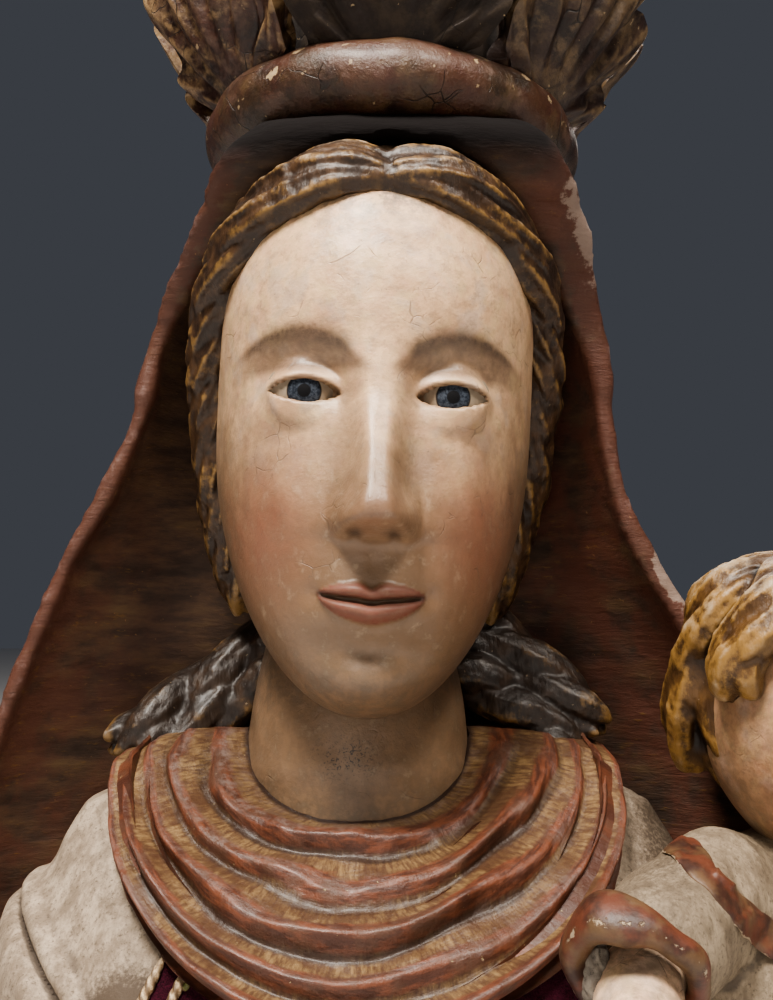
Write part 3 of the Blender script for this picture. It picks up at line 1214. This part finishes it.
def crown_leaves():
    """One ribbed leaf, carved once and copied round the drum."""
    leaf, across, up = sheet("crown_leaf_1", 200, 110)
    side = 2 * across - 1
    turn = side * 1.25
    lobes = np.abs(np.cos(side * 3.5 * np.pi))
    lobe = 1 + 0.075 * (lobes - 0.5) * ease(0.3, 1, up) + 0.05 * np.cos(side * 7 * np.pi) * ease(0.3, 1, up)
    reach = leaf_fan(1 - np.abs(side)) * up * lobe
    rise = reach * np.cos(turn) + 3 * (1 - up)
    along = (6 * side) * (1 - up) + 0.92 * reach * np.sin(turn)
    flare = LEAF_FLARE * (1 - (1 - np.minimum(1, rise / LEAF_HEIGHT)) ** 1.8)
    ribs = 1.5 * np.cos(side * 7 * np.pi + 0.8 * np.sin(5 * up)) * ease(0.1, 0.5, up)
    veins = 0.24 * np.cos(side * 20 * np.pi + 2 * np.sin(9 * up)) * ease(0.15, 0.6, up)
    curl = 2.2 * ease(0.7, 1, up) * (0.4 + 0.6 * lobes)
    radius = 37 + flare + LEAF_THICKNESS / 2 + ribs + veins + curl
    angle = along / (40 + flare)
    carve(
        leaf, radius * np.sin(angle), -radius * np.cos(angle), rise,
        chips=0.25 * ease(0.93, 1, up), along=ease(0.2, 0.8, up),
    )
    mark_relief(leaf, 12, 1.2)
    edited(leaf, bpy.ops.mesh.normals_make_consistent, inside=False)
    work(leaf, "SOLIDIFY", thickness=(LEAF_THICKNESS + 0.6) * MM, offset=-1)
    spots = spots_of(leaf) / MM
    leaves = [leaf]
    for number in range(1, LEAF_COUNT):
        copy = leaf.copy()
        copy.data = leaf.data.copy()
        copy.name = copy.data.name = f"crown_leaf_{number + 1}"
        bpy.context.collection.objects.link(copy)
        leaves.append(copy)
    for number, copy in enumerate(leaves):
        turned = CROWN_PLACE @ Matrix.Rotation(2 * math.pi * number / LEAF_COUNT, 4, "Z")
        x, y, z = spots.T
        bend = 1.2 * unevenness(x, y, z, 34, 1.7 * number)
        carve(copy, x, y + bend, z, turned, dull=LEAF_DULLNESS[number])
        finished(copy, "crown", LEAF_PAINT, 70)


# Child
def child_head():
    piece, around, up = ball("child_face", 200, 180)
    closer = around + 0.45 * np.sin(around)
    height = -np.cos(np.pi * up)
    ring_size = np.sin(np.pi * up)
    ahead = -np.cos(closer)
    across = np.sin(closer) * ring_size
    jaw = 0.8 - 0.06 * ease(0.3, 0.9, -height)
    x = across * CHILD_HALF * jaw
    z = height * CHILD_HALF
    front = ahead * ring_size * CHILD_HALF * 0.86
    cheek = 2.0 * mound(np.abs(across) - 0.42, 0.3) * mound(height + 0.36, 0.3)
    formed, masks = face_forms(x, z, front + cheek, CHILD_FACE)
    share = ease(0.1, 0.5, ahead * ring_size)
    masks = {name: values * share for name, values in masks.items()}
    cheeks = 0.5 * mound(np.abs(x) - 13, 9) * mound(z + 13, 10) * share
    masks["blush"] = np.clip(1.15 * masks["blush"] + cheeks, 0, 1)
    y = -(front + (formed - front) * share)
    carve(piece, x, y, z, CHILD_PLACE, grime=0.4, aged=0.3, patch=0.0, **masks)
    mark_relief(piece)
    return finished(piece, "child_figure", CHILD_FLESH)


# A curl's width, depth and thickness, the same all along
CURL_WIDE = profile((0, 3.4), (1, 3.4))
CURL_DEEP = profile((0, 1.4), (1, 1.4))
CURL_SIZE = profile((0, 3.5), (1, 3.5))


def child_curl(number):
    """A long lock swept from the crown of the head down over the hair's edge."""
    turn = math.radians(-126 + 36 * number)
    front = float(ease(0.2, 0.9, math.cos(turn)))
    end = blend(-0.42, 0.5, front) * CHILD_HALF
    back = 0.42 * math.copysign(1 - front, math.sin(turn))

    def spot(reach, height, twist):
        angle = turn + twist
        return (reach * CHILD_HALF * math.sin(angle), 2 - reach * CHILD_HALF * math.cos(angle), height)

    points = [
        spot(0.2, 0.95 * CHILD_HALF, 0), spot(0.70, 0.72 * CHILD_HALF, 0.3 * back + 0.1),
        spot(0.90, 0.5 * (0.55 * CHILD_HALF + end), 0.7 * back - 0.08), spot(0.84, end, 1.3 * back),
    ]
    return twisted(
        points, lambda places: places - np.array([0, 4, 0]), 3,
        lambda share: number + 5.2 * share, CURL_WIDE, CURL_DEEP, CURL_SIZE, 0.8, CHILD_PLACE,
    )


def child_hair():
    cap, around, up = ball("cap", 140, 120)
    ring_size = 0.84 * CHILD_HALF * np.sin(np.pi * up)
    waves = 0.9 * np.cos(around * 14 + 3 * np.sin(up * 9)) * np.sin(np.pi * up)
    x = (ring_size + waves) * np.sin(around)
    y = 6 + (ring_size + waves) * np.cos(around)
    carve(cap, x, y, 4 - 0.92 * CHILD_HALF * np.cos(np.pi * up), CHILD_PLACE)
    locks = [lock for number in range(10) for lock in child_curl(number)]
    pieces = [cap, *locks]
    return carved_locks("child_hair", pieces, 0.65, "child_figure", CHILD_HAIR, 97, 92)


robe_half = profile((0, 40), (30, 39), (50, 35), (62, 27), (74, 14))


def robe_reach(around, height):
    size = np.sqrt(np.maximum(0, 1 - ease(56, 76, height) ** 3))
    return robe_half(height) * size * (1 + 0.03 * np.cos(around * 8) * (1 - ease(20, 50, height)))


SLEEVE_POINTS = [(78, -36, 60), (66, -50, 60), (54.5, -66, 57.5), (46.6, -79, 53.8)]
CUFF_PLACE = Matrix.Translation((46.2, -80, 53.4)) @ (
    Vector((0, 0, 1)).rotation_difference(Vector((-0.28, -0.86, -0.42)).normalized()).to_matrix().to_4x4()
)


def child_robe():
    """The robe and its sleeve, run together, with the sleeve hollow at its mouth."""
    robe, around, up = ball("child_robe", 160, 110)
    height = np.maximum(UNDER_CUT, -28 + 104 * up)
    reach = np.where(up > 0, robe_reach(around, height), 0)
    carve(robe, ROBE_X + reach * np.sin(around), ROBE_Y + 0.9 * reach * np.cos(around), height)
    sleeve_radius = profile((0, 15), (0.5, 13.4), (1, 12.4))

    def radius(around, along):
        folds = 0.035 * np.sin(around * 3 + 5 * along) + 0.03 * np.sin(along * 21 + 2 * np.cos(around))
        return sleeve_radius(along) * (1 + folds * ease(0.95, 0.6, along))

    sleeve, _, _ = drawn_out("sleeve", SLEEVE_POINTS, radius, 100, 90, (0, 0, 1))
    piece = joined("child_robe", robe, sleeve)
    run_together(piece, 1.0, 9)
    bore = started("bore", bpy.ops.mesh.primitive_cylinder_add, vertices=64, radius=9.8 * MM, depth=24 * MM)
    bore.data.transform(Matrix.Translation(CUFF_PLACE.translation * MM) @ CUFF_PLACE.to_3x3().to_4x4())
    cut_away(piece, bore)
    x, y, z = places_of(piece)
    push_out(piece, (0.4 * unevenness(x, y, z, 11) + 0.12 * unevenness(x, y, z, 3.2, 1)) * ease(1, 6, z))
    cut_flat(piece)
    x, y, z = places_of(piece)
    mark(piece, grime=np.clip(0.18 + 0.3 * ease(66, 56, x) + 0.15 * ease(62, 74, z), 0, 1))
    mark_relief(piece, 20, 0.8)
    return finished(piece, "child_figure", ROBE_CHALK, 50)


TRIM_POINTS = [
    (59.0, -50, 73.8), (60.2, -60, 72.2), (61.5, -67.5, 69.5), (65.5, -69, 65.5),
    (70.5, -65.5, 60.8), (75, -63, 57), (80, -64.5, 53), (86, -65.5, 48), (92, -66, 42),
]


def robe_trim(robe):
    """A broad raised trim that runs down over the sleeve's root and across the robe."""
    piece, across, along = sheet("robe_trim", 24, 160)
    places, heading = course(TRIM_POINTS, along)
    outward = np.array((0.2, -0.72, 0.66))
    beside = np.cross(heading, outward)
    beside = beside / np.linalg.norm(beside, axis=1)[:, None]
    side = 2 * across - 1
    spots = places + (side * (4.3 + 0.35 * np.sin(17 * along)))[:, None] * beside
    carve(piece, *spots.T, edge=0.62 * np.abs(side) ** 4)
    work(piece, "SHRINKWRAP", target=robe, offset=0.4 * MM)
    work(piece, "SMOOTH", factor=0.5, iterations=6)
    crown = 1.0 * np.sqrt(np.maximum(0, 1 - side**4)) + 0.25 * np.sin(23 * along) * (1 - np.abs(side))
    spots = spots_of(piece) / MM + crown[:, None] * outward
    carve(piece, *spots.T)
    mark_relief(piece, 14, 0.8)
    work(piece, "SOLIDIFY", thickness=2.2 * MM, offset=-1)
    return finished(piece, "child_figure", TRIM_PAINT, 60)


ARM_POINTS = [(50.4, -69, 54.2), (46.2, -79.5, 50.4), (43.2, -91, 44.2), (41, -100, 36.5)]


def sleeve_cuff():
    """A thick uneven roll round the sleeve's mouth, heaviest on top."""
    cuff, around, section = ring("sleeve_cuff", 180, 48)
    wavy = 1 + 0.04 * np.sin(3 * around + 1) + 0.02 * np.sin(8 * around)
    high = mound(around - 1.7, 0.85)
    thickness = 2.3 + 1.4 * high + 0.25 * np.sin(5 * around + 0.5)
    reach = (10.7 + 2.6 * high) * wavy + thickness * np.cos(section)
    z = (1.15 + 0.5 * high) * thickness * np.sin(section) + 0.8 * np.sin(2 * around) - 1.5 * high
    carve(
        cuff, reach * np.cos(around), reach * np.sin(around), z, CUFF_PLACE,
        edge=0.52 * mound(np.degrees(section) - 44, 30),
    )
    mark_relief(cuff, 20, 0.6)
    return finished(cuff, "child_figure", TRIM_PAINT)


def cuff_filler():
    """Old grey filler pressed in between the sleeve's mouth and the arm."""
    piece, around, up = ball("cuff_filler", 90, 70)
    polar = np.pi * up
    x = 3.3 * np.sin(polar) * np.sin(around)
    y = 4.5 * np.sin(polar) * np.cos(around)
    z = -7 * np.cos(polar)
    grain = 1 + 0.07 * unevenness(x, y, z, 3.1) + 0.04 * unevenness(x, y, z, 1.3, 2)
    carve(piece, 38.6 + x * grain, -76.5 + y * grain, 53.5 + z * grain, grime=0.35)
    mark_relief(piece, 12, 1.2)
    return finished(piece, "child_figure", FILLER)


def child_forearm():
    arm_radius = profile((0, 7.8), (0.3, 8.2), (1, 6.6))
    arm, _, _ = drawn_out("forearm", ARM_POINTS, lambda around, along: arm_radius(along), 90, 90, (0, 0, 1))
    hand, around, up = ball("hand", 110, 90)
    polar = np.pi * up
    x = 6.6 * np.sin(polar) * np.sin(around)
    y = 9 * np.sin(polar) * np.cos(around)
    z = -6 * np.cos(polar)
    fingers = ease(2, -3, y)
    x, z = x * (1 + 0.08 * fingers), z * (1 + 0.07 * np.abs(np.cos(x * 1.05)) * fingers)
    tilt = Matrix.Translation((40.2, -103.5, 33)) @ Matrix.Rotation(0.6, 4, "X")
    carve(hand, x, y, z, tilt)
    thumb, _, _ = drawn_out(
        "thumb", [(46, -99, 37), (47.2, -103, 35), (45.5, -107.5, 32)],
        lambda around, along: 2.3 - 0.4 * along, 32, 40, (0, 0, 1),
    )
    piece = joined("child_forearm", arm, hand, thumb)
    run_together(piece, 0.6, 5)
    x, y, z = places_of(piece)
    push_out(piece, 0.18 * unevenness(x, y, z, 8))
    mark(piece, grime=0.35, aged=0.1, blush=0.0, shade=0.0, brow=0.0, lip=0.0, line=0.0, patch=0.0)
    mark_relief(piece, 12, 1.2)
    return finished(piece, "child_forearm", ARM_FLESH)


# Velvet
def velvet_spot(across, up, offset):
    left = blend(-33, -27, up)
    angle = np.radians(blend(left, 31, across))
    height = blend(2, 52, up)
    x, y = dress_spot(np.pi - angle, height)
    return np.column_stack([x + offset * np.sin(angle), y - offset * np.cos(angle), height])


def velvet_panel():
    piece, across, up = sheet("velvet_cloth", 180, 90)
    swell = 0.35 * np.sin(across * 19 + 2 * up) * ease(0.8, 0.2, up)
    spots = velvet_spot(across, up, CLOTH_GAP + CLOTH_THICKNESS + swell)
    carve(piece, *spots.T)
    work(piece, "SOLIDIFY", thickness=CLOTH_THICKNESS * MM, offset=-1)
    finished(piece, "velvet_panel", VELVET, 60)

    def cord(name, material, start, end, thickness, plies=3, pitch=2.4):
        share = np.linspace(0, 1, 12)
        surface = velvet_spot(
            blend(start[0], end[0], share), blend(start[1], end[1], share),
            CLOTH_GAP + CLOTH_THICKNESS + thickness * 0.35 + 0.3,
        )
        length = np.linalg.norm(np.diff(surface, axis=0), axis=1).sum()

        def radius(around, along):
            twist = around * plies + along * length / pitch * 2 * np.pi
            return thickness / 2 * (0.82 + 0.30 * np.abs(np.cos(twist / 2)))

        rows = int(min(400, max(40, length * 5)))
        made, _, _ = drawn_out(name, surface, radius, 20, rows, (0, -1, 0), 1.15)
        mark_relief(made, 8, 2.5)
        return finished(made, "velvet_panel", material)

    cords = [
        cord("edge_cord_outer", CREAM_THREAD, (0.012, 0.97), (0.012, 0.03), 1.9),
        cord("edge_cord_inner", CREAM_THREAD, (0.085, 0.97), (0.085, 0.03), 1.9),
        cord("edge_cord_right", CREAM_THREAD, (0.985, 0.97), (0.985, 0.03), 1.9),
    ]
    sprays = [((0.16, 0.50), (0.24, 0.80)), ((0.19, 0.50), (0.215, 0.83)), ((0.22, 0.48), (0.185, 0.72))]
    for number, (start, end) in enumerate(sprays):
        cords.append(cord(f"gold_spray_{number + 1}", CREAM_THREAD, start, end, 0.9, 2, 1.6))
    cords.append(cord("olive_thread_end", OLIVE_THREAD, (0.10, 0.86), (0.115, 0.95), 1.2, 2, 1.6))


# Floor, lights and camera
def studio():
    floor = started("floor", bpy.ops.mesh.primitive_plane_add, size=6)
    floor.data.materials.append(plain_floor_finish())
    lights = [
        ("key_light", (-0.20, -0.40, 0.90), 0.22, 16),
        ("second_light", (0.30, -0.42, 0.86), 0.18, 6),
        ("back_light", (0.15, 0.75, 0.75), 0.50, 3),
        ("fill_light", (-0.2, -1.3, 0.40), 0.9, 3.6),
    ]
    for name, spot, size, energy in lights:
        alone()
        bpy.ops.object.light_add(type="AREA", location=spot)
        light = bpy.context.object
        light.name = light.data.name = name
        light.data.size = size
        light.data.energy = energy
        light.data.color = (1.0, 0.94, 0.86)
        aim = Vector((0, 0, 0.15)) - Vector(spot)
        light.rotation_euler = aim.to_track_quat("-Z", "Y").to_euler()
    world = bpy.data.worlds.new("studio")
    bpy.context.scene.world = world
    world.use_nodes = True
    background = world.node_tree.nodes["Background"]
    background.inputs["Color"].default_value = (0.70, 0.75, 0.88, 1)
    background.inputs["Strength"].default_value = 0.085
    bpy.context.scene.view_settings.look = "AgX - Medium High Contrast"
    alone()
    bpy.ops.object.camera_add(location=(0, -0.320, 0.1225), rotation=(math.radians(94.5), 0, 0))
    camera = bpy.context.object
    camera.name = "camera"
    camera.data.lens = 46.08
    camera.data.sensor_width = 36
    camera.data.clip_start = 0.01
    bpy.context.scene.camera = camera


studio()
saint_head()
eyes("saint", SAINT_FACE, HEAD_PLACE)
saint_neck()
saint_hair()
shoulder_hair()
saint_veil()
saint_dress()
saint_collar()
crown_roll()
crown_drum()
crown_leaves()
child_head()
eyes("child", CHILD_FACE, CHILD_PLACE)
child_hair()
robe_trim(child_robe())
sleeve_cuff()
cuff_filler()
child_forearm()
velvet_panel()
